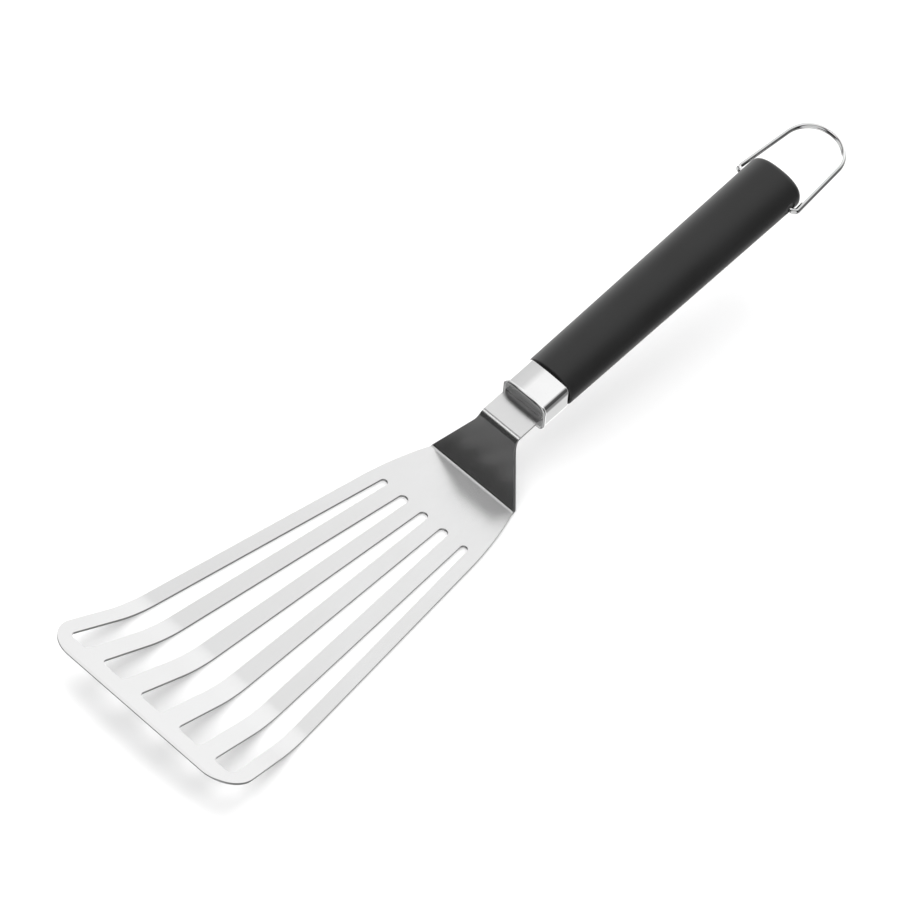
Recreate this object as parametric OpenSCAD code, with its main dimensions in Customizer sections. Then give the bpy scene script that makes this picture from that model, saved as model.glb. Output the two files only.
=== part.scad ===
// Grill spatula: slotted stainless head on a soft-touch handle with a folding hanging loop.
// Millimetres. X runs across the blade, +Y towards the butt of the handle, +Z up.
// The flat rear of the blade lies on Z = 0, and the origin is the middle of the plan outline.
// "Station" is a distance forward from the crease between the blade and its riser.
// Handle parts are drawn in a frame with +Y along the handle, turned to the handle's pitch.

/* [Blade] */
// Thickness of the blade sheet
sheet_t = 1.2; // [1:0.1:1.5]
// Half width of the blade's straight sides, carried back to the crease
side_half = 26.6; // [26:0.1:28]
// How fast each side widens towards the front
side_slope = 0.1276; // [0.125:0.0001:0.14]
// Radius of the rounded shoulders beside the crease
shoulder_r = 185; // [150:5:220]
// Station where the shoulders start
shoulder_start = 36; // [30:1:40]
// Station of the front edge, seen from above
front_station = 204.2; // [200:0.1:215]
// Radius of the front corners
corner_r = 14; // [8:0.5:18]
// Angle that the front of the blade is bent up
front_lift = 20.8; // [10:0.1:25]
// Station of the front bend's virtual corner
bend_station = 158.3; // [145:0.1:165]
// Radius of the front bend on its upper side
bend_r = 55; // [30:1:60]
// Width of the ground bevel along the front edge
bevel_w = 2.3; // [1:0.1:4]

/* [Slots] */
// Station of the slots' rear ends
slot_rear = 28.7; // [24:0.1:40]
// Station of the slots' front ends, seen from above
slot_front = 195; // [185:0.1:197]
// Corner radius at the slots' front ends
slot_corner_r = 2.6; // [1:0.1:3.5]
// Distance of the inner slots' centre lines from the middle, at the crease
inner_offset = 9.45; // [9:0.05:10]
// How fast the inner slots' centre lines spread
inner_slope = 0.0595; // [0.055:0.0005:0.064]
// Distance of the outer slots' centre lines from the middle, at the crease
outer_offset = 19.45; // [19:0.05:20]
// How fast the outer slots' centre lines spread
outer_slope = 0.105; // [0.1:0.0005:0.108]

/* [Riser and neck] */
// Angle of the riser above the blade
riser_angle = 71.8; // [60:0.1:80]
// Length of the riser between its virtual corners
riser_len = 29.1; // [27:0.1:34]
// Radius of the crease on its upper side
crease_r = 1.5; // [1:0.1:3]
// Radius of the bend at the riser's top, on its upper side
top_r = 4; // [3:0.1:5]
// Half width of the neck
neck_half = 10.2; // [9.5:0.1:10.4]
// Radius of the fillets between riser and neck
neck_fillet_r = 12; // [8:0.5:14]

/* [Handle] */
// Pitch of the neck and handle above the blade
handle_pitch = 10.95; // [8:0.05:14]
// Distance from the riser's top corner to the front of the ferrule
ferrule_start = 14.5; // [12:0.1:18]
// Length of the ferrule
ferrule_len = 15.3; // [14:0.1:18]
// Half width of the ferrule
ferrule_half_w = 11.3; // [11.2:0.1:12]
// Half height of the ferrule
ferrule_half_h = 8.4; // [8:0.1:9]
// Wall thickness of the ferrule
ferrule_wall = 1; // [0.8:0.05:1.05]
// Width of the gap that the seal fills between ferrule and grip
seal_gap = 0.7; // [0.5:0.1:1]
// Length of the soft grip
grip_len = 144.2; // [135:0.1:150]
// Half width of the grip at its front
grip_front_w = 12.4; // [12:0.1:13]
// Half height of the grip at its front
grip_front_h = 9.2; // [8.8:0.1:10]
// Half width of the grip at its butt
grip_butt_w = 13.7; // [13.4:0.1:13.8]
// Half height of the grip at its butt
grip_butt_h = 9.9; // [9.4:0.1:11]
// Wall thickness of the soft grip
grip_wall = 2.1; // [1.5:0.1:2.3]
// Wall thickness of the nylon core
core_wall = 2.1; // [1.5:0.1:2.4]

/* [Tang] */
// Width of the tang
tang_w = 12; // [10:0.5:13]
// Thickness of the tang
tang_t = 2.5; // [2:0.1:3]
// Distance of the tang's rear end from the riser's top corner
tang_end = 88; // [80:1:100]

/* [Hanging loop] */
// Diameter of the loop's wire
wire_d = 2.5; // [2:0.1:2.6]
// Distance of the loop's pivot in front of the butt
pivot_inset = 8.6; // [8:0.1:9]
// Half spread of the loop's legs at the pivot, to the wire centre
loop_half = 16.5; // [16:0.1:17]
// Radius of the loop's tip, to the wire centre
loop_tip_r = 14.2; // [13:0.1:15]
// Distance of the tip arc's centre from the pivot
loop_reach = 29.2; // [27:0.1:33]
// Angle that the loop droops below the handle's line at rest
loop_droop = 2.7; // [0:0.1:10]

/* [Hidden] */
$fn = 96;

fit_gap = 0.05;
slip_gap = 0.15;
slice_t = 0.01;
steel = [0.86, 0.87, 0.88];
chrome = [0.78, 0.79, 0.8];
nylon = [0.25, 0.25, 0.26];
soft_black = [0.09, 0.09, 0.1];
seal_black = [0.03, 0.03, 0.03];

// Blade: the front plate, and each slot's half width at the crease and its growth, from the middle out
bend_setback = bend_r * tan(front_lift / 2);
front_plate_len = (front_station - bend_station) / cos(front_lift);
blade_reach = 70;
blade_top = 40;
bevel_depth = 0.7;
profile_spare = 1;
arc_sag = 0.01;
slot_offset = [0, inner_offset, outer_offset];
slot_slope = [0, inner_slope, outer_slope];
slot_half = [1.4, 1.55, 1.15];
slot_growth = [0.0242, 0.023, 0.0195];

// Riser: setbacks of its two bends, and its top corner on the upper face
crease_setback = crease_r * tan(riser_angle / 2);
head_rear = crease_setback - 0.2;
top_turn = riser_angle - handle_pitch;
top_setback = top_r * tan(top_turn / 2);
top_corner = [0, riser_len * cos(riser_angle), sheet_t + riser_len * sin(riser_angle)];

// Shoulder circles are tangent to the straight sides, and set the blade's width at the crease
side_lean = atan(side_slope);
shoulder_x = side_half + side_slope * shoulder_start - shoulder_r * cos(side_lean);
shoulder_station = shoulder_start + shoulder_r * sin(side_lean);
crease_half = shoulder_x + sqrt(pow(shoulder_r, 2) - pow(shoulder_station - crease_setback, 2));

// Riser outline seen from the front: its taper meets the neck's straight sides at taper_top
taper_slope = 0.537;
taper_angle = atan(taper_slope);
foot_overlap = 2;
taper_top = sheet_t + (crease_half - neck_half) / taper_slope;
fillet_setback = neck_fillet_r * tan(taper_angle / 2);

// Handle stations along its own axis, which lies a little under the neck's upper face
neck_rise = 0.7;
neck_bottom = neck_rise - sheet_t;
ferrule_end = ferrule_start + ferrule_len;
ferrule_front_wall = 1.6;
ferrule_corner_r = 4.2;
ferrule_crown_r = 48;
lip_len = 1.4;
lip_proud = 0.35;
grip_start = ferrule_end + seal_gap;
grip_end = grip_start + grip_len;
grip_edge_r = 0.6;
dome_len = 3.4;
dome_inset = 3;
butt_wall = 3.6;
pivot_station = grip_end - pivot_inset;
core_end = grip_end - butt_wall;
spigot_start = ferrule_end - 2.8;
spigot_relief = 0.3;
spigot_step = 2.4;
neck_end = ferrule_end - 3.4;
section_power = 2.35;
section_points = 44;
rib_stations = [46, 60, 102, 120, 138];
rib_t = 1.6;
butt_block_len = 10;

// Tang and its fasteners
tang_bottom = neck_bottom - tang_t;
core_split = neck_bottom - tang_t / 2;
tang_start = ferrule_start + ferrule_front_wall + 0.6;
rivet_stations = [tang_start + 2.4, tang_start + 7.4];
rivet_r = 1.5;
rivet_head_r = 2.3;
rivet_head_t = 0.9;
pin_station = tang_end - 10;
pin_r = 1.5;
pin_half_len = 6.4;
pin_boss_r = 3.4;

// Loop: its legs lean inwards and run tangent into the tip arc
wire_r = wire_d / 2;
loop_lean = acos(loop_tip_r / norm([loop_half, loop_reach])) - atan2(loop_reach, loop_half);
loop_corner_r = 2;
loop_corner_x = loop_half - loop_corner_r * tan(45 + loop_lean / 2);
wire_end_x = 8;
bead_proud = 0.02;
bush_r = 2.6;
bush_bore_r = wire_r + 0.1;
bush_inner_x = 7.6;
bush_outer_x = 13.1;
bush_flange_r = 3.1;
bush_flange_t = 0.8;

// Plan ends of the whole spatula, which place the origin
loop_pitch = handle_pitch - loop_droop;
axis_y = top_corner[1] + neck_rise * sin(handle_pitch);
pivot_y = axis_y + pivot_station * cos(handle_pitch);
loop_end_y = pivot_y + (loop_reach + loop_tip_r) * cos(loop_pitch) + wire_r;
centre_y = (loop_end_y - front_station) / 2;

// ---- frames ----

module at_origin() {
    translate([0, -centre_y, 0]) children();
}

// +Y along the handle's axis, starting beside the riser's top corner
module on_handle() {
    at_origin()
        translate(top_corner)
            rotate([handle_pitch, 0, 0])
                translate([0, 0, -neck_rise]) children();
}

// Runs an XZ section along +Y, from a to b
module along(a, b) {
    translate([0, b, 0]) rotate([90, 0, 0]) linear_extrude(b - a) children();
}

// ---- blade ----

// Arc from angle a to angle b, where 0 points along the second axis's minus side and 90 along the first axis
function arc(centre, r, a, b) =
    let (steps = ceil(abs(b - a) / (2 * acos(1 - arc_sag / r))))
    [for (i = [0 : steps]) let (t = a + (b - a) * i / steps) centre + r * [sin(t), -cos(t)]];

// Rounded front end between two sides x = x0 + slope * station, from the left side to the right one
function front_end(left, left_slope, right, right_slope, front, r) =
    let (
        s = front - r,
        lean_l = atan(left_slope),
        lean_r = atan(right_slope)
    )
    concat(
        arc([left + left_slope * s + r / cos(lean_l), -s], r, lean_l - 90, 0),
        arc([right + right_slope * s - r / cos(lean_r), -s], r, 0, lean_r + 90)
    );

// Straight tapering sides and rounded front corners, drawn in to the crease by the shoulders
module head_outline() {
    rear_angle = 90 + asin((shoulder_station - head_rear) / shoulder_r);
    polygon(concat(
        front_end(-side_half, -side_slope, side_half, side_slope, front_station, corner_r),
        arc([shoulder_x, -shoulder_station], shoulder_r, 90 + side_lean, rear_angle),
        arc([-shoulder_x, -shoulder_station], shoulder_r, -rear_angle, -90 - side_lean)
    ));
}

// One slot: index 0 is the middle slot, and side chooses left or right
module slot(index, side) {
    centre = side * slot_offset[index];
    spread = side * slot_slope[index];
    half = slot_half[index];
    growth = slot_growth[index];
    end_r = (half + growth * slot_rear) / (1 - growth);
    rear = slot_rear + end_r;
    polygon(concat(
        front_end(centre - half, spread - growth, centre + half, spread + growth,
                  slot_front, slot_corner_r),
        arc([centre + spread * rear, -rear], end_r, 90 + atan(spread + growth), 270 + atan(spread - growth))
    ));
}

module slots() {
    slot(0, 1);
    for (side = [-1, 1])
        for (index = [1, 2])
            slot(index, side);
}

// A point on the front plate: y runs back along its upper face from the bend, z stands off it
function on_front(y, z) = [
    -bend_station + y * cos(front_lift) + z * sin(front_lift),
    sheet_t - y * sin(front_lift) + z * cos(front_lift)
];

// A point on the neck: y runs back along its upper face from the riser's top corner, z stands off it
function on_neck(y, z) = [
    top_corner[1] + y * cos(handle_pitch) - z * sin(handle_pitch),
    top_corner[2] + y * sin(handle_pitch) + z * cos(handle_pitch)
];

// Side view of the bent sheet: its upper face from front to neck, then its lower face back again
function sheet_profile() =
    let (
        front_centre = [-bend_station + bend_setback, sheet_t + bend_r],
        crease_centre = [-crease_setback, sheet_t + crease_r],
        top_centre = on_neck(top_setback, -top_r),
        front_y = -front_plate_len - profile_spare
    )
    concat(
        [on_front(front_y, -bevel_depth * (1 + profile_spare / bevel_w))],
        [on_front(-front_plate_len + bevel_w, 0)],
        arc(front_centre, bend_r, -front_lift, 0),
        arc(crease_centre, crease_r, 0, riser_angle),
        arc(top_centre, top_r, 180 + riser_angle, 180 + handle_pitch),
        [on_neck(neck_end, 0), on_neck(neck_end, -sheet_t)],
        arc(top_centre, top_r - sheet_t, 180 + handle_pitch, 180 + riser_angle),
        arc(crease_centre, crease_r + sheet_t, riser_angle, 0),
        arc(front_centre, bend_r + sheet_t, 0, -front_lift),
        [on_front(front_y, -sheet_t)]
    );

// Riser seen from the front: wide foot, straight taper, filleted into the neck's width
module riser_outline() {
    fillet_x = neck_half + neck_fillet_r;
    fillet_z = taper_top + fillet_setback;
    outline_top = fillet_z + top_corner[2];
    polygon(concat(
        [[-crease_half, -1], [crease_half, -1], [crease_half, sheet_t]],
        arc([fillet_x, fillet_z], neck_fillet_r, taper_angle - 90, -90),
        [[neck_half, outline_top], [-neck_half, outline_top]],
        arc([-fillet_x, fillet_z], neck_fillet_r, 90, 90 - taper_angle),
        [[-crease_half, sheet_t]]
    ));
}

// The bent sheet, cut to the head's plan outline and to the riser's front outline
module blade() {
    color(steel) at_origin()
        difference() {
            intersection() {
                translate([-blade_reach, 0, 0])
                    rotate([90, 0, 90]) linear_extrude(2 * blade_reach) polygon(sheet_profile());
                union() {
                    translate([0, 0, -1])
                        linear_extrude(blade_top)
                            difference() {
                                head_outline();
                                slots();
                            }
                    along(-crease_setback - foot_overlap, neck_end + riser_len) riser_outline();
                }
            }
            translate(top_corner)
                rotate([handle_pitch, 0, 0])
                    for (s = rivet_stations)
                        translate([0, s, -2 * sheet_t]) cylinder(r = rivet_r + fit_gap, h = 3 * sheet_t);
        }
}

// ---- tang and fasteners ----

module tang() {
    tip_r = tang_w / 2;
    color(steel) on_handle()
        difference() {
            translate([0, 0, tang_bottom]) {
                translate([-tip_r, tang_start, 0]) cube([tang_w, tang_end - tip_r - tang_start, tang_t]);
                translate([0, tang_end - tip_r, 0]) cylinder(r = tip_r, h = tang_t);
            }
            for (s = rivet_stations)
                translate([0, s, tang_bottom - 1]) cylinder(r = rivet_r + fit_gap, h = tang_t + 2);
            translate([0, pin_station, tang_bottom - 1]) cylinder(r = pin_r + fit_gap, h = tang_t + 2);
        }
}

module tang_rivets() {
    color(steel) on_handle()
        for (s = rivet_stations)
            translate([0, s, 0]) {
                translate([0, 0, tang_bottom]) cylinder(r = rivet_r, h = neck_rise - tang_bottom);
                translate([0, 0, neck_rise]) cylinder(r = rivet_head_r, h = rivet_head_t);
                translate([0, 0, tang_bottom - rivet_head_t]) cylinder(r = rivet_head_r, h = rivet_head_t);
            }
}

module core_pin() {
    color(steel) on_handle()
        translate([0, pin_station, -pin_half_len]) cylinder(r = pin_r, h = 2 * pin_half_len);
}

// ---- ferrule and seal ----

// Rounded rectangle with a gently crowned top and bottom, drawn in by inset
module ferrule_section(inset) {
    w = ferrule_half_w - inset;
    h = ferrule_half_h - inset;
    r = ferrule_corner_r - inset;
    crown = ferrule_crown_r - inset;
    intersection() {
        union() {
            translate([-w, -h + r]) square([2 * w, 2 * (h - r)]);
            translate([-w + r, -h]) square([2 * (w - r), 2 * h]);
            for (sx = [-1, 1])
                for (sz = [-1, 1])
                    translate([sx * (w - r), sz * (h - r)]) circle(r);
        }
        translate([0, h - crown]) circle(crown);
        translate([0, crown - h]) circle(crown);
    }
}

module ferrule() {
    slot_half_w = neck_half + slip_gap;
    color(chrome) on_handle()
        difference() {
            union() {
                along(ferrule_start, ferrule_end) ferrule_section(0);
                along(ferrule_start, ferrule_start + lip_len) ferrule_section(-lip_proud);
            }
            along(ferrule_start + ferrule_front_wall, ferrule_end + 1) ferrule_section(ferrule_wall);
            translate([-slot_half_w, ferrule_start - 1, neck_bottom - slip_gap])
                cube([2 * slot_half_w, ferrule_front_wall + 2, sheet_t + 2 * slip_gap]);
        }
}

module joint_seal() {
    recess = 0.5;
    color(seal_black) on_handle()
        difference() {
            along(ferrule_end, grip_start) ferrule_section(recess);
            along(ferrule_end - 1, grip_start + 1) ferrule_section(ferrule_wall + fit_gap);
        }
}

// ---- core and grip ----

// Half width and half height of the grip at a station
function grip_at(s) =
    [grip_front_w, grip_front_h]
    + ([grip_butt_w, grip_butt_h] - [grip_front_w, grip_front_h]) * (s - grip_start) / grip_len;

// Superellipse through [half width, half height]
function oval(size) = [
    for (i = [0 : section_points - 1])
        let (a = 360 * i / section_points, c = cos(a), s = sin(a))
        [size[0] * sign(c) * pow(abs(c), 2 / section_power),
         size[1] * sign(s) * pow(abs(s), 2 / section_power)]
];

// Thin slice of the grip's shape at a station, drawn in by inset
module grip_slice(s, inset) {
    along(s, s + slice_t) polygon(oval(grip_at(s) - [inset, inset]));
}

// Tapered solid between two stations, drawn in by inset
module grip_form(a, b, inset) {
    hull() {
        grip_slice(a, inset);
        grip_slice(b - slice_t, inset);
    }
}

// Grip outside: a softened front edge, a straight taper and a domed butt
module grip_outside() {
    hull() {
        grip_slice(grip_start, grip_edge_r);
        grip_slice(grip_start + grip_edge_r, 0);
        for (a = [0 : 22.5 : 90])
            grip_slice(grip_end - slice_t - dome_len * (1 - sin(a)), dome_inset * (1 - cos(a)));
    }
}

// Runs a round bar or bore along X on the loop's pivot, from x = a to x = b, on one side
module pivot_bar(side, a, b, r) {
    translate([0, pivot_station, 0])
        rotate([0, side * 90, 0])
            translate([0, 0, a]) cylinder(r = r, h = b - a);
}

module core_body() {
    cavity_inset = grip_wall + core_wall;
    difference() {
        union() {
            difference() {
                grip_form(grip_start, core_end, grip_wall);
                grip_form(grip_start + core_wall, core_end - butt_block_len, cavity_inset);
            }
            intersection() {
                grip_form(grip_start + slip_gap, core_end - slip_gap, grip_wall + core_wall / 2);
                core_ribs();
            }
            along(spigot_start, grip_start - spigot_relief) ferrule_section(ferrule_wall + slip_gap);
            along(spigot_start + 1, grip_start + 1) ferrule_section(ferrule_wall + spigot_step);
        }
        translate([-tang_w / 2 - slip_gap, spigot_start - 1, tang_bottom - slip_gap])
            cube([tang_w + 2 * slip_gap, tang_end + 1 - spigot_start + slip_gap, tang_t + 2 * slip_gap]);
        translate([0, pin_station, -pin_half_len - slip_gap])
            cylinder(r = pin_r + fit_gap, h = 2 * (pin_half_len + slip_gap));
        for (side = [-1, 1])
            pivot_bar(side, bush_inner_x - slip_gap, grip_butt_w, bush_r + fit_gap);
    }
}

module core_ribs() {
    wide = 2 * grip_butt_w;
    for (s = rib_stations)
        translate([-wide / 2, s, -wide / 2]) cube([wide, rib_t, wide]);
    translate([0, pin_station, -wide / 2]) cylinder(r = pin_boss_r, h = wide);
}

// Keeps the part of the core above (1) or below (-1) the split
module core_side(side) {
    wide = 40;
    intersection() {
        core_body();
        translate([-wide / 2, spigot_start - 1, side > 0 ? core_split : core_split - wide])
            cube([wide, grip_end - spigot_start, wide]);
    }
}

module core_upper() {
    color(nylon) on_handle() core_side(1);
}

module core_lower() {
    color(nylon) on_handle() core_side(-1);
}

module grip_sleeve() {
    color(soft_black) on_handle()
        difference() {
            grip_outside();
            grip_form(grip_start - 1, core_end + fit_gap, grip_wall - fit_gap);
            for (side = [-1, 1]) {
                pivot_bar(side, bush_inner_x, grip_butt_w + 1, bush_r + fit_gap);
                pivot_bar(side, bush_outer_x - bush_flange_t, grip_butt_w + 1, bush_flange_r + fit_gap);
            }
        }
}

// ---- hanging loop and its bushes ----

module loop_bush(side) {
    color(nylon) on_handle()
        difference() {
            union() {
                pivot_bar(side, bush_inner_x, bush_outer_x, bush_r);
                pivot_bar(side, bush_outer_x - bush_flange_t, bush_outer_x, bush_flange_r);
            }
            pivot_bar(side, bush_inner_x - 1, bush_outer_x + 1, bush_bore_r);
        }
}

module loop_bush_left() {
    loop_bush(-1);
}

module loop_bush_right() {
    loop_bush(1);
}

// Where the wire's straight and curved stretches meet, on the +X side, in the loop's own plane
function leg_normal() = [cos(loop_lean), sin(loop_lean), 0];
function leg_start() = [loop_corner_x, loop_corner_r, 0] + loop_corner_r * leg_normal();
function leg_end() = [0, loop_reach, 0] + loop_tip_r * leg_normal();

// Wire end, corner and leg on one side, with a small bead at each change of curve
module loop_leg(side) {
    mirrored = side > 0 ? 0 : 1;
    mirror([mirrored, 0, 0]) {
        translate([wire_end_x, 0, 0])
            rotate([0, 90, 0]) cylinder(r = wire_r, h = loop_corner_x - wire_end_x);
        translate([loop_corner_x, loop_corner_r, 0])
            rotate([0, 0, -90])
                rotate_extrude(angle = 90 + loop_lean)
                    translate([loop_corner_r, 0]) circle(wire_r);
        translate(leg_start())
            rotate([-90, 0, loop_lean]) cylinder(r = wire_r, h = norm(leg_end() - leg_start()));
        translate([loop_corner_x, 0, 0])
            rotate([0, 90, 0]) sphere(r = wire_r + bead_proud);
        for (bead = [leg_start(), leg_end()])
            translate(bead)
                rotate([-90, 0, loop_lean]) sphere(r = wire_r + bead_proud);
    }
}

module hanging_loop() {
    color(chrome) on_handle()
        translate([0, pivot_station, 0])
            rotate([-loop_droop, 0, 0]) {
                loop_leg(1);
                loop_leg(-1);
                translate([0, loop_reach, 0])
                    rotate([0, 0, loop_lean])
                        rotate_extrude(angle = 180 - 2 * loop_lean)
                            translate([loop_tip_r, 0]) circle(wire_r);
            }
}

blade();
tang();
tang_rivets();
ferrule();
joint_seal();
core_upper();
core_lower();
core_pin();
grip_sleeve();
loop_bush_left();
loop_bush_right();
hanging_loop();
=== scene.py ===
"""Looks of the grill spatula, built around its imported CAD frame. Metres, in the CAD frame."""
import math

import bmesh
import bpy
from mathutils import Matrix, Vector


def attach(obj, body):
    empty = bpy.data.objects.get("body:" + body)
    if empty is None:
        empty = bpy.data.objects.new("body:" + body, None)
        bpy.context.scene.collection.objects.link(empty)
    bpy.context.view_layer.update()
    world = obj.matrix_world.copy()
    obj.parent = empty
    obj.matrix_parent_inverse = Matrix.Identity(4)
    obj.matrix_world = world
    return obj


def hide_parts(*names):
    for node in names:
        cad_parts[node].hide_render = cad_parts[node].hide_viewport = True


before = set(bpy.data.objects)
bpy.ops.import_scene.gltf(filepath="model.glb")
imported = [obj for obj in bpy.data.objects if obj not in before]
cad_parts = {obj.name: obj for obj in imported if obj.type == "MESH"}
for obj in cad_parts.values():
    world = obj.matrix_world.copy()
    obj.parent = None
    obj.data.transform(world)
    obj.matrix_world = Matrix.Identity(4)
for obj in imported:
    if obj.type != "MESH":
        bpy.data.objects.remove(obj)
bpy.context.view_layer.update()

MM = 0.001

# Sizes of the design, in millimetres and degrees, with the names that part.scad gives them
SHEET_T = 1.2
FRONT_STATION = 204.2
RISER_ANGLE = math.radians(71.8)
RISER_LEN = 29.1
HANDLE_PITCH = math.radians(10.95)
NECK_RISE = 0.7
NECK_HALF = 10.2
FERRULE_START = 14.5
FERRULE_LEN = 15.3
FERRULE_HALF = (11.3, 8.4)
FERRULE_CORNER_R = 4.2
FERRULE_CROWN_R = 48.0
FERRULE_WALL = 1.0
FERRULE_FRONT_WALL = 1.6
GRIP_START = FERRULE_START + FERRULE_LEN + 0.7
GRIP_LEN = 144.2
GRIP_END = GRIP_START + GRIP_LEN
GRIP_FRONT = (12.4, 9.2)
GRIP_BUTT = (13.7, 9.9)
SECTION_POWER = 2.35
PIVOT_STATION = GRIP_END - 8.6
BUSH_OUTER_X = 13.1
BUSH_FLANGE_R = 3.1
BUSH_FLANGE_T = 0.8
WIRE_R = 1.25
WIRE_END_X = 8.0
LOOP_HALF = 16.5
LOOP_TIP_R = 14.2
LOOP_REACH = 29.2
LOOP_CORNER_R = 2.0
LOOP_DROOP = math.radians(2.7)

TOP_CORNER_Y = RISER_LEN * math.cos(RISER_ANGLE)
TOP_CORNER_Z = SHEET_T + RISER_LEN * math.sin(RISER_ANGLE)
AXIS_Y = TOP_CORNER_Y + NECK_RISE * math.sin(HANDLE_PITCH)
LOOP_END_Y = (
    AXIS_Y
    + PIVOT_STATION * math.cos(HANDLE_PITCH)
    + (LOOP_REACH + LOOP_TIP_R) * math.cos(HANDLE_PITCH - LOOP_DROOP)
    + WIRE_R
)
CENTRE_Y = (LOOP_END_Y - FRONT_STATION) / 2
LOOP_LEAN = (
    math.acos(LOOP_TIP_R / math.hypot(LOOP_HALF, LOOP_REACH))
    - math.atan2(LOOP_REACH, LOOP_HALF)
)


def handle_point(x, s, h):
    """The place of a point of the handle, in mm: x across, s along its axis, h above that."""
    c, n = math.cos(HANDLE_PITCH), math.sin(HANDLE_PITCH)
    h -= NECK_RISE
    return MM * Vector((x, TOP_CORNER_Y - CENTRE_Y + s * c - h * n, TOP_CORNER_Z + s * n + h * c))


# ---- camera ----

# Where the camera stands: turned right from the front, and raised; then its roll about its line of sight
CAMERA_AZIMUTH = math.radians(30.5)
CAMERA_ELEVATION = math.radians(49.3)
CAMERA_ROLL = math.radians(15.5)
CAMERA_AIM = Vector((-0.0139, -0.0004 - CENTRE_Y * MM, 0.0070))
CAMERA_DISTANCE = 2.2


def add_camera():
    data = bpy.data.cameras.new("camera")
    data.sensor_width = 36
    data.lens = 212.5
    data.clip_start = 0.05
    data.clip_end = 50
    camera = bpy.data.objects.new("camera", data)
    turn = (
        Matrix.Rotation(CAMERA_AZIMUTH, 4, "Z")
        @ Matrix.Rotation(math.pi / 2 - CAMERA_ELEVATION, 4, "X")
        @ Matrix.Rotation(CAMERA_ROLL, 4, "Z")
    )
    back = turn.col[2].to_3d()
    place = Matrix.Translation(CAMERA_AIM + CAMERA_DISTANCE * back)
    camera.matrix_world = place @ turn
    bpy.context.collection.objects.link(camera)
    bpy.context.scene.camera = camera


# ---- meshes ----

def new_object(name, mesh):
    piece = bpy.data.objects.new(name, mesh)
    bpy.context.collection.objects.link(piece)
    return piece


def from_bmesh(name, bm):
    mesh = bpy.data.meshes.new(name)
    bmesh.ops.recalc_face_normals(bm, faces=bm.faces)
    bm.to_mesh(mesh)
    bm.free()
    return new_object(name, mesh)


def smooth(piece, angle):
    """Shades a piece smooth, apart from edges sharper than angle, and keeps its flat faces flat."""
    piece.data.polygons.foreach_set("use_smooth", [True] * len(piece.data.polygons))
    piece.data.set_sharp_from_angle(angle=math.radians(angle))
    weighted = piece.modifiers.new("weighted_normals", "WEIGHTED_NORMAL")
    weighted.keep_sharp = True


def loft(name, rings):
    """A skin over rings of points, capped at both ends."""
    bm = bmesh.new()
    rows = [[bm.verts.new(p) for p in ring] for ring in rings]
    for low, high in zip(rows, rows[1:]):
        for i in range(len(low)):
            j = (i + 1) % len(low)
            bm.faces.new((low[i], low[j], high[j], high[i]))
    bm.faces.new(list(reversed(rows[0])))
    bm.faces.new(rows[-1])
    return from_bmesh(name, bm)


def cut(piece, cutters):
    """Takes the cutters out of a piece for good, and deletes them."""
    for cutter in cutters:
        boolean = piece.modifiers.new("cut", "BOOLEAN")
        boolean.operation = "DIFFERENCE"
        boolean.solver = "EXACT"
        boolean.object = cutter
    evaluated = piece.evaluated_get(bpy.context.evaluated_depsgraph_get())
    piece.data = bpy.data.meshes.new_from_object(evaluated)
    piece.modifiers.clear()
    for cutter in cutters:
        bpy.data.objects.remove(cutter)


def across(s, x0, x1, r, steps=64):
    """A cylinder along X on the handle at station s, from x0 to x1."""
    turns = [2 * math.pi * i / steps for i in range(steps)]
    return loft("cutter", [
        [handle_point(x, s + r * math.cos(t), r * math.sin(t)) for t in turns] for x in (x0, x1)
    ])


def is_bend(edge, place, reach):
    """Whether an edge runs across the object within reach of a place in the middle plane."""
    a, b = (v.co for v in edge.verts)
    near = math.hypot(a.y - place.y, a.z - place.z) < reach * MM
    return near and abs(a.x - b.x) > abs(a.y - b.y) + abs(a.z - b.z)


def softened(node, name, width, segments=2, sharp=40.0, bend=None):
    """A copy of a CAD node whose sharp edges are rounded over by width, in mm.

    A bend is a place in the middle plane and a width of its own for the edges that cross it there.
    """
    bm = bmesh.new()
    bm.from_mesh(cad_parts[node].data)
    bmesh.ops.remove_doubles(bm, verts=bm.verts, dist=2e-6)
    bmesh.ops.dissolve_limit(
        bm, angle_limit=math.radians(0.3), verts=bm.verts, edges=bm.edges
    )
    limit = math.radians(sharp)
    edges = [e for e in bm.edges if len(e.link_faces) == 2 and e.calc_face_angle() > limit]
    if bend:
        place, bend_width = bend
        bmesh.ops.bevel(
            bm, geom=[e for e in edges if is_bend(e, place, 2.5)], offset=bend_width * MM,
            segments=8, profile=0.5, affect="EDGES",
        )
        edges = [e for e in bm.edges if len(e.link_faces) == 2 and e.calc_face_angle() > limit]
    bmesh.ops.bevel(
        bm, geom=edges, offset=width * MM, segments=segments, profile=0.5,
        affect="EDGES", clamp_overlap=True,
    )
    return from_bmesh(name, bm)


# ---- materials ----

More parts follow.
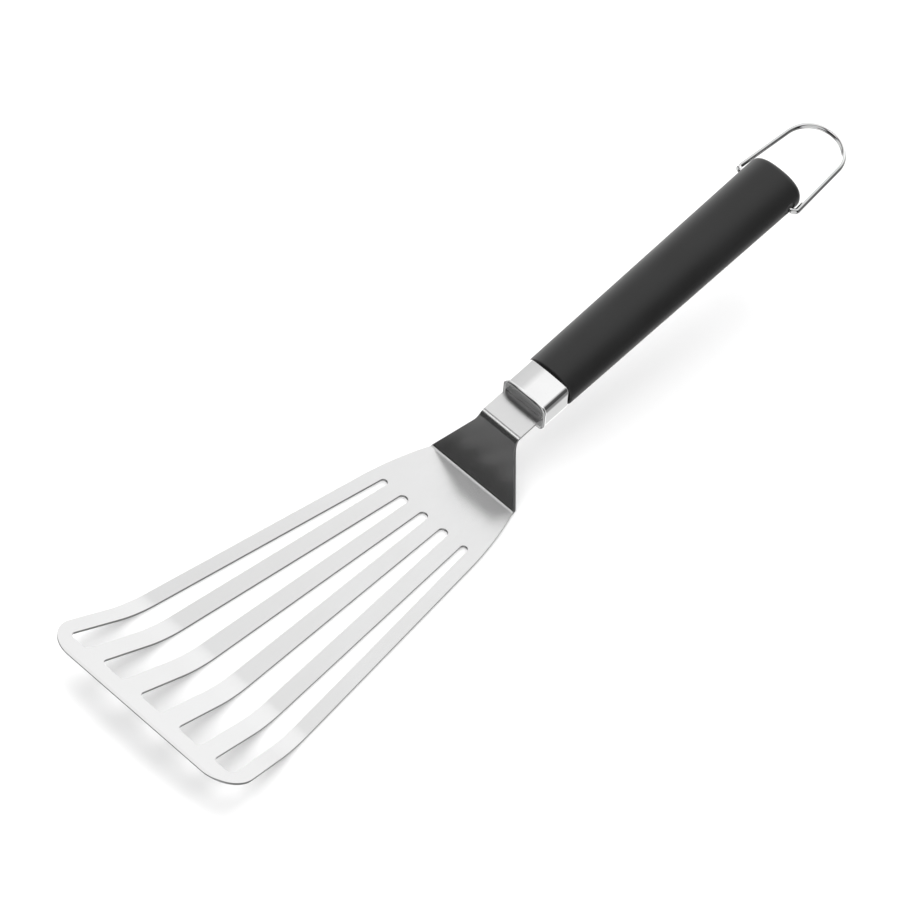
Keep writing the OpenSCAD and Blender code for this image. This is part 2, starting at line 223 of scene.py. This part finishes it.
class Shader:
    """A Principled material and the few node chains that it is built from."""

    def __init__(self, name, **sockets):
        self.material = bpy.data.materials.new(name)
        self.material.use_nodes = True
        self.tree = self.material.node_tree
        self.tree.nodes.clear()
        self.principled = self.add("ShaderNodeBsdfPrincipled")
        output = self.add("ShaderNodeOutputMaterial")
        self.tree.links.new(self.principled.outputs[0], output.inputs[0])
        self.place = self.add("ShaderNodeTexCoord").outputs["Object"]
        self.height = None
        for socket, value in sockets.items():
            self.principled.inputs[socket.replace("_", " ")].default_value = value

    def add(self, kind, **settings):
        node = self.tree.nodes.new(kind)
        for key, value in settings.items():
            setattr(node, key, value)
        return node

    def noise(self, scale, detail=4.0, stretch=(1, 1, 1), roughness=0.5):
        """Noise from 0 to 1, scale features a metre, drawn out along the axes of low stretch."""
        mapping = self.add("ShaderNodeMapping")
        mapping.inputs["Scale"].default_value = stretch
        texture = self.add("ShaderNodeTexNoise")
        texture.inputs["Scale"].default_value = scale
        texture.inputs["Detail"].default_value = detail
        texture.inputs["Roughness"].default_value = roughness
        self.tree.links.new(self.place, mapping.inputs["Vector"])
        self.tree.links.new(mapping.outputs[0], texture.inputs["Vector"])
        return texture.outputs[0]

    def ramp(self, value, low, high, start=0.3, end=0.7):
        """Maps value from start..end to low..high, which are numbers or colours."""
        colours = isinstance(low, tuple)
        if colours:
            ramp = self.add("ShaderNodeValToRGB")
            for element, colour, at in zip(ramp.color_ramp.elements, (low, high), (start, end)):
                element.color = (*colour, 1)
                element.position = at
            self.tree.links.new(value, ramp.inputs[0])
            return ramp.outputs[0]
        node = self.add("ShaderNodeMapRange")
        for socket, number in zip(node.inputs[1:5], (start, end, low, high)):
            socket.default_value = number
        self.tree.links.new(value, node.inputs[0])
        return node.outputs[0]

    def drive(self, socket, value):
        self.tree.links.new(value, self.principled.inputs[socket])

    def bump(self, value, depth_mm):
        """Adds relief of depth_mm, on top of any that is there."""
        node = self.add("ShaderNodeBump")
        node.inputs["Strength"].default_value = 1.0
        node.inputs["Distance"].default_value = depth_mm * MM
        self.tree.links.new(value, node.inputs["Height"])
        if self.height:
            self.tree.links.new(self.height, node.inputs["Normal"])
        self.height = node.outputs[0]
        self.tree.links.new(self.height, self.principled.inputs["Normal"])


def grey(level, warmth=0.0):
    return (level * (1 + warmth), level, level * (1 - warmth))


def satin_steel(name, level, rough_low, rough_high):
    """Cold-rolled steel with a fine directional grain along Y and faint clouding."""
    shader = Shader(name, Metallic=1.0)
    clouds = shader.noise(22, detail=3)
    grain = shader.noise(5200, detail=2, stretch=(1, 0.035, 1), roughness=0.6)
    shader.drive("Base Color", shader.ramp(clouds, grey(level * 0.97, 0.002), grey(level, -0.002)))
    shader.drive("Roughness", shader.ramp(grain, rough_low, rough_high))
    shader.bump(grain, 0.0012)
    shader.bump(shader.noise(45, detail=1), 0.010)
    return shader.material


def chrome(name, level):
    """Bright plating over a drawn surface: slightly wavy, with hairline scuffs."""
    shader = Shader(name, Metallic=1.0)
    scuffs = shader.noise(3000, detail=3, stretch=(1, 0.08, 1))
    clouds = shader.noise(60, detail=2)
    shader.drive("Base Color", shader.ramp(clouds, grey(level * 0.97), grey(level)))
    shader.drive("Roughness", shader.ramp(scuffs, 0.035, 0.10, start=0.45, end=0.8))
    shader.bump(shader.noise(260, detail=1), 0.006)
    shader.bump(scuffs, 0.0004)
    return shader.material


def soft_plastic(name, level, rough_low, rough_high, grain_mm=0.014):
    """Moulded soft-touch plastic: fine stipple, faint mottling and a satin sheen."""
    shader = Shader(name, IOR=1.5)
    stipple = shader.noise(2400, detail=3, roughness=0.6)
    patches = shader.noise(35, detail=4)
    dark, pale = grey(level * 0.86, 0.01), grey(level * 1.1, -0.01)
    shader.drive("Base Color", shader.ramp(patches, dark, pale))
    shader.drive("Roughness", shader.ramp(patches, rough_low, rough_high))
    shader.bump(stipple, grain_mm)
    return shader.material


add_camera()

steel = satin_steel("satin_steel", 0.80, 0.20, 0.27)
# The cut edges' steel is darker partly for the duller face that shearing leaves and partly as painted
# shade: the contact shadow along each cut edge
cut_edge_and_shade = satin_steel("sheared_edge_and_painted_shade", 0.45, 0.42, 0.58)
mill_steel = satin_steel("mill_steel", 0.55, 0.28, 0.42)
plating = chrome("bright_plating", 0.90)
grip_finish = soft_plastic("soft_touch", 0.011, 0.38, 0.46)
core_finish = soft_plastic("moulded_nylon", 0.045, 0.50, 0.62, grain_mm=0.008)
seal_finish = soft_plastic("seal_rubber", 0.012, 0.60, 0.75, grain_mm=0.006)


def finish(piece, material):
    piece.data.materials.clear()
    piece.data.materials.append(material)


def dress(node, material):
    """Gives a CAD node that stays in view, or hidden inside, its finish."""
    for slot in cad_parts[node].material_slots:
        slot.material = material


for node in ("tang", "tang_rivets", "core_pin"):
    dress(node, mill_steel)
for node in ("core_upper", "core_lower"):
    dress(node, core_finish)
dress("joint_seal", seal_finish)


# ---- blade ----

# Normals of the faces that the press cut across the sheet, which get the darker cut-edge steel with its
# painted shade: at most this steep, or at least this far sideways
SHEARED_MAX_Z = 0.25
SHEARED_MIN_X = 0.8
# Widths over which the sheet's edges and its top bend are rounded, in mm
EDGE_SOFTNESS = 0.12
TOP_BEND_R = 1.1


def mark_cut_edges(piece):
    """Gives the second material to the faces that the press cut across the sheet. It is darker partly
    for the duller cut face and partly as painted shade along the edge.
    """
    for face in piece.data.polygons:
        if abs(face.normal.z) < SHEARED_MAX_Z or abs(face.normal.x) > SHEARED_MIN_X:
            face.material_index = 1


top_bend = MM * Vector((0, TOP_CORNER_Y - CENTRE_Y, TOP_CORNER_Z))
blade = softened("blade", "spatula_head", EDGE_SOFTNESS, bend=(top_bend, TOP_BEND_R))
finish(blade, steel)
# The second material is the cut edges' steel, darkened partly as painted contact shadow along the edges
blade.data.materials.append(cut_edge_and_shade)
mark_cut_edges(blade)
smooth(blade, 32)
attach(blade, "spatula")
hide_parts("blade")


# ---- grip ----

def oval(size, steps=112):
    """Points of a superellipse with the given half width and half height."""
    points = []
    for i in range(steps):
        t = 2 * math.pi * i / steps
        c, n = math.cos(t), math.sin(t)
        points.append((
            size[0] * math.copysign(abs(c) ** (2 / SECTION_POWER), c),
            size[1] * math.copysign(abs(n) ** (2 / SECTION_POWER), n),
        ))
    return points


def grip_size(s, inset=0.0):
    share = (s - GRIP_START) / GRIP_LEN
    return [a + (b - a) * share - inset for a, b in zip(GRIP_FRONT, GRIP_BUTT)]


def grip_ring(s, inset=0.0, shrink=1.0):
    return [handle_point(x * shrink, s, z * shrink) for x, z in oval(grip_size(s, inset))]


def build_grip():
    """Sleeve with a softened front edge, a straight taper and a crowned butt."""
    edge_r = 0.6
    bore_inset = 2.1
    dome_len = 3.4
    dome_inset = 3.0
    crown = 0.45
    quarter = [math.pi / 2 * i / 8 for i in range(9)]
    rings = [grip_ring(GRIP_START + 2, bore_inset), grip_ring(GRIP_START, bore_inset)]
    rings += [
        grip_ring(GRIP_START + edge_r * (1 - math.sin(a)), edge_r * (1 - math.cos(a)))
        for a in reversed(quarter)
    ]
    straight_end = GRIP_END - dome_len
    rings += [
        grip_ring(GRIP_START + edge_r + (straight_end - GRIP_START - edge_r) * i / 40)
        for i in range(1, 40)
    ]
    dome_end = GRIP_END - crown
    rings += [
        grip_ring(dome_end - (dome_len - crown) * (1 - math.sin(a)), dome_inset * (1 - math.cos(a)))
        for a in quarter
    ]
    rings += [
        grip_ring(GRIP_END - crown * k * k, dome_inset, k) for k in (0.93, 0.8, 0.6, 0.35, 0.1)
    ]
    grip = loft("grip_skin", rings)
    pocket_r = BUSH_FLANGE_R + 0.05
    cutters = [
        across(PIVOT_STATION, *sorted((side * (BUSH_OUTER_X - BUSH_FLANGE_T), side * 20)), pocket_r)
        for side in (-1, 1)
    ]
    cut(grip, cutters)
    return grip


grip = build_grip()
finish(grip, grip_finish)
smooth(grip, 35)
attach(grip, "spatula")
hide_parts("grip_sleeve")


# ---- ferrule ----

def ferrule_inside(x, z, inset):
    w, h = FERRULE_HALF[0] - inset, FERRULE_HALF[1] - inset
    r = FERRULE_CORNER_R - inset
    crown = FERRULE_CROWN_R - inset
    x, z = abs(x), abs(z)
    if x > w or z > h or math.hypot(x, z + crown - h) > crown:
        return False
    return math.hypot(max(x - w + r, 0), max(z - h + r, 0)) <= r


def ferrule_outline(inset, steps=144):
    """The ferrule's section, found along rays from its middle."""
    points = []
    for i in range(steps):
        t = 2 * math.pi * i / steps
        near, far = 0.0, 20.0
        for _ in range(26):
            middle = (near + far) / 2
            if ferrule_inside(middle * math.cos(t), middle * math.sin(t), inset):
                near = middle
            else:
                far = middle
        points.append((near * math.cos(t), near * math.sin(t)))
    return points


# The ferrule's wall as (distance from its front, inset), from the middle of its front face round to
# the inner side of the face: a shallow recess, the rolled lip, the drawn side and the open rear
FERRULE_WALL_LINE = (
    (0.40, 4.0), (0.40, 1.05), (0.33, 0.90), (0.12, 0.78), (0.02, 0.62), (0.0, 0.40), (0.03, 0.10),
    (0.12, -0.12), (0.32, -0.28), (0.65, -0.35), (1.0, -0.32), (1.25, -0.20), (1.42, -0.06),
    (1.60, 0.0), (8.0, 0.0), (14.8, 0.0), (15.1, 0.06), (15.25, 0.18), (15.3, 0.40),
    (15.3, FERRULE_WALL), (FERRULE_FRONT_WALL, FERRULE_WALL), (FERRULE_FRONT_WALL, 4.0),
)


def build_ferrule():
    rings = [
        [handle_point(x, FERRULE_START + s, z) for x, z in ferrule_outline(inset)]
        for s, inset in FERRULE_WALL_LINE
    ]
    ferrule = loft("ferrule_shell", rings)
    gap = 0.15
    half = NECK_HALF + gap
    low, high = NECK_RISE - SHEET_T - gap, NECK_RISE + gap
    slot = [
        [handle_point(x, FERRULE_START + s, z) for x, z in
         ((-half, low), (half, low), (half, high), (-half, high))]
        for s in (-1, FERRULE_FRONT_WALL + 1)
    ]
    cut(ferrule, [loft("cutter", slot)])
    return ferrule


ferrule = build_ferrule()
finish(ferrule, plating)
smooth(ferrule, 35)
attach(ferrule, "spatula")
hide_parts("ferrule")


# ---- hanging loop and its bushes ----

for side in ("left", "right"):
    bush = softened(f"loop_bush_{side}", f"bush_{side}", 0.18, segments=3)
    finish(bush, core_finish)
    smooth(bush, 35)
    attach(bush, "spatula")
    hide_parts(f"loop_bush_{side}")


def loop_path():
    """Centre line of the loop's wire as (x, reach, direction), from one end to the other."""
    corner_x = LOOP_HALF - LOOP_CORNER_R * math.tan(math.pi / 4 + LOOP_LEAN / 2)
    half = [(WIRE_END_X + (corner_x - WIRE_END_X) * i / 4, 0.0, 0.0) for i in range(4)]
    for i in range(15):
        turn = (math.pi / 2 + LOOP_LEAN) * i / 14
        half.append((
            corner_x + LOOP_CORNER_R * math.sin(turn),
            LOOP_CORNER_R * (1 - math.cos(turn)),
            turn,
        ))
    start = half[-1]
    leg = math.pi / 2 + LOOP_LEAN
    tip = (LOOP_TIP_R * math.cos(LOOP_LEAN), LOOP_REACH + LOOP_TIP_R * math.sin(LOOP_LEAN))
    for i in range(1, 12):
        share = i / 12
        half.append((
            start[0] + (tip[0] - start[0]) * share, start[1] + (tip[1] - start[1]) * share, leg,
        ))
    for i in range(25):
        turn = LOOP_LEAN + (math.pi / 2 - LOOP_LEAN) * i / 24
        half.append((
            LOOP_TIP_R * math.cos(turn),
            LOOP_REACH + LOOP_TIP_R * math.sin(turn),
            turn + math.pi / 2,
        ))
    mirrored = [(-x, u, -turn) for x, u, turn in reversed(half[:-1])]
    return half + mirrored


def build_loop():
    """Round wire swept along the loop's path, with narrowing rings at its hidden cut ends."""
    steps = 28
    c, n = math.cos(LOOP_DROOP), math.sin(LOOP_DROOP)
    rings = []
    path = loop_path()
    ends = {0: (0.55, 0.86), len(path) - 1: (0.86, 0.55)}
    for k, (x, u, turn) in enumerate(path):
        for scale in ends.get(k, (1.0,)):
            back = (1 - scale) * 0.6 if k == 0 else 0
            ring = []
            for i in range(steps):
                a = 2 * math.pi * i / steps
                out, up = WIRE_R * scale * math.cos(a), WIRE_R * scale * math.sin(a)
                px = x + out * math.sin(turn) + back
                pu = u - out * math.cos(turn)
                ring.append(handle_point(px, PIVOT_STATION + pu * c + up * n, -pu * n + up * c))
            rings.append(ring)
    return loft("wire_loop", rings)


loop = build_loop()
finish(loop, plating)
smooth(loop, 50)
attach(loop, "loop")
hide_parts("hanging_loop")


# ---- studio ----

FLOOR_HALF = 25
FLOOR_DROP = 0.0001


def add_floor():
    """A plain pale floor, kept out of mirror-like reflections, where STUDIO_BELOW stands for it."""
    bm = bmesh.new()
    bmesh.ops.create_grid(bm, x_segments=1, y_segments=1, size=FLOOR_HALF)
    floor = from_bmesh("floor", bm)
    floor.location.z = -FLOOR_DROP
    shader = Shader("floor_paper", Roughness=1.0)
    shader.principled.inputs["Specular IOR Level"].default_value = 0.0
    shader.drive("Base Color", shader.ramp(shader.noise(3), grey(0.90), grey(0.91)))
    finish(floor, shader.material)
    floor.visible_glossy = False


def add_area(name, direction, size):
    """A soft lamp that shows in no reflection."""
    data = bpy.data.lights.new(name, "AREA")
    data.shape = "DISK"
    data.size = size
    data.energy = LIGHT_POWER
    light = bpy.data.objects.new(name, data)
    way = Vector(direction).normalized()
    light.location = CAMERA_AIM + LIGHT_DISTANCE * way
    light.rotation_euler = way.to_track_quat("Z", "Y").to_euler()
    light.visible_glossy = False
    bpy.context.collection.objects.link(light)


# Radiance of the studio round the object, by how far back a direction points, and the share of it
# that is left by how far to the right it points
STUDIO_BACK = (
    (-1.0, 0.03), (-0.35, 0.05), (-0.1, 0.14), (0.0, 0.30), (0.10, 0.90), (0.20, 1.40),
    (0.46, 0.97), (0.565, 1.50), (0.72, 1.50), (1.0, 1.42),
)
STUDIO_RIGHT = (
    (-1.0, 2.0), (-0.80, 1.6), (-0.64, 0.7), (-0.45, 0.75), (-0.36, 1.0), (0.05, 1.0),
    (0.35, 0.45), (0.6, 0.12), (1.0, 0.08),
)
# Fill from the front, by how far back and how far right a direction points, with a dark flag in it
FILL_BACK = ((-1.0, 0.75), (-0.30, 0.75), (-0.14, 0.0), (1.0, 0.0))
FILL_RIGHT = (
    (-1.0, 1.0), (-0.70, 1.0), (-0.54, 0.0), (-0.12, 0.0), (0.10, 1.0), (1.0, 1.0),
)
# A small softbox over the top bend: direction, cosines of its rim and of its even middle, radiance
SOFTBOX = (Vector((-0.33, -0.33, 0.885)).normalized(), 0.974, 0.995, 1.7)
# What the pale table sends back in reflections, by how far up a direction points
STUDIO_BELOW = ((-1.0, 0.20), (-0.16, 0.20), (-0.04, 0.0), (1.0, 0.0))
# Directions of the low lights round the table, which fill in the wide shadow of the raised handle
LOW_LIGHTS = ((-1.0, 0.1, 0.6), (1.0, 0.3, 0.6), (0.1, -1.0, 0.7))
OVERHEAD_LIGHT = (-0.3, 0.0, 1.0)
LIGHT_DISTANCE = 1.6
LIGHT_POWER = 11


def add_studio():
    world = bpy.data.worlds.new("studio")
    world.use_nodes = True
    bpy.context.scene.world = world
    tree = world.node_tree
    tree.nodes.clear()

    def add(kind, *links, **settings):
        node = tree.nodes.new(kind)
        for key, value in settings.items():
            setattr(node, key, value)
        for output, socket in links:
            tree.links.new(output, node.inputs[socket])
        return node

    def levels(value, steps):
        """Grey by a direction's component, from -1 to 1, scaled so that white is the brightest."""
        share = add("ShaderNodeMapRange", (value, 0))
        share.inputs["From Min"].default_value = -1
        ramp = add("ShaderNodeValToRGB", (share.outputs[0], 0))
        elements = ramp.color_ramp.elements
        while len(elements) < len(steps):
            elements.new(0.5)
        brightest = max(level for _, level in steps)
        for element, (place, level) in zip(elements, steps):
            element.position = (place + 1) / 2
            element.color = (*grey(level / brightest), 1)
        return add_math("MULTIPLY", ramp.outputs[0], brightest)

    def add_math(operation, a, b):
        node = add("ShaderNodeMath", (a, 0), operation=operation)
        if isinstance(b, float):
            node.inputs[1].default_value = b
        else:
            tree.links.new(b, node.inputs[1])
        return node.outputs[0]

    way = add("ShaderNodeTexCoord").outputs["Generated"]
    parts = add("ShaderNodeSeparateXYZ", (way, 0))
    back, right = parts.outputs["Y"], parts.outputs["X"]
    field = add_math("MULTIPLY", levels(back, STUDIO_BACK), levels(right, STUDIO_RIGHT))
    fill = add_math("MULTIPLY", levels(back, FILL_BACK), levels(right, FILL_RIGHT))
    middle, rim, even, radiance = SOFTBOX
    cosine = add("ShaderNodeVectorMath", (way, 0), operation="DOT_PRODUCT")
    cosine.inputs[1].default_value = middle
    lobe = add("ShaderNodeMapRange", (cosine.outputs["Value"], 0), interpolation_type="SMOOTHSTEP")
    for socket, number in (("From Min", rim), ("From Max", even), ("To Max", radiance)):
        lobe.inputs[socket].default_value = number
    below = levels(parts.outputs["Z"], STUDIO_BELOW)
    even_light = add_math("ADD", add_math("ADD", field, fill), below)
    strength = add_math("ADD", even_light, lobe.outputs[0])
    background = add("ShaderNodeBackground", (strength, "Strength"))
    add("ShaderNodeOutputWorld", (background.outputs[0], "Surface"))


add_floor()
add_studio()
add_area("overhead", OVERHEAD_LIGHT, 1.6)
for number, way in enumerate(LOW_LIGHTS):
    add_area(f"low_{number}", way, 1.4)
bpy.context.scene.view_settings.view_transform = "Standard"
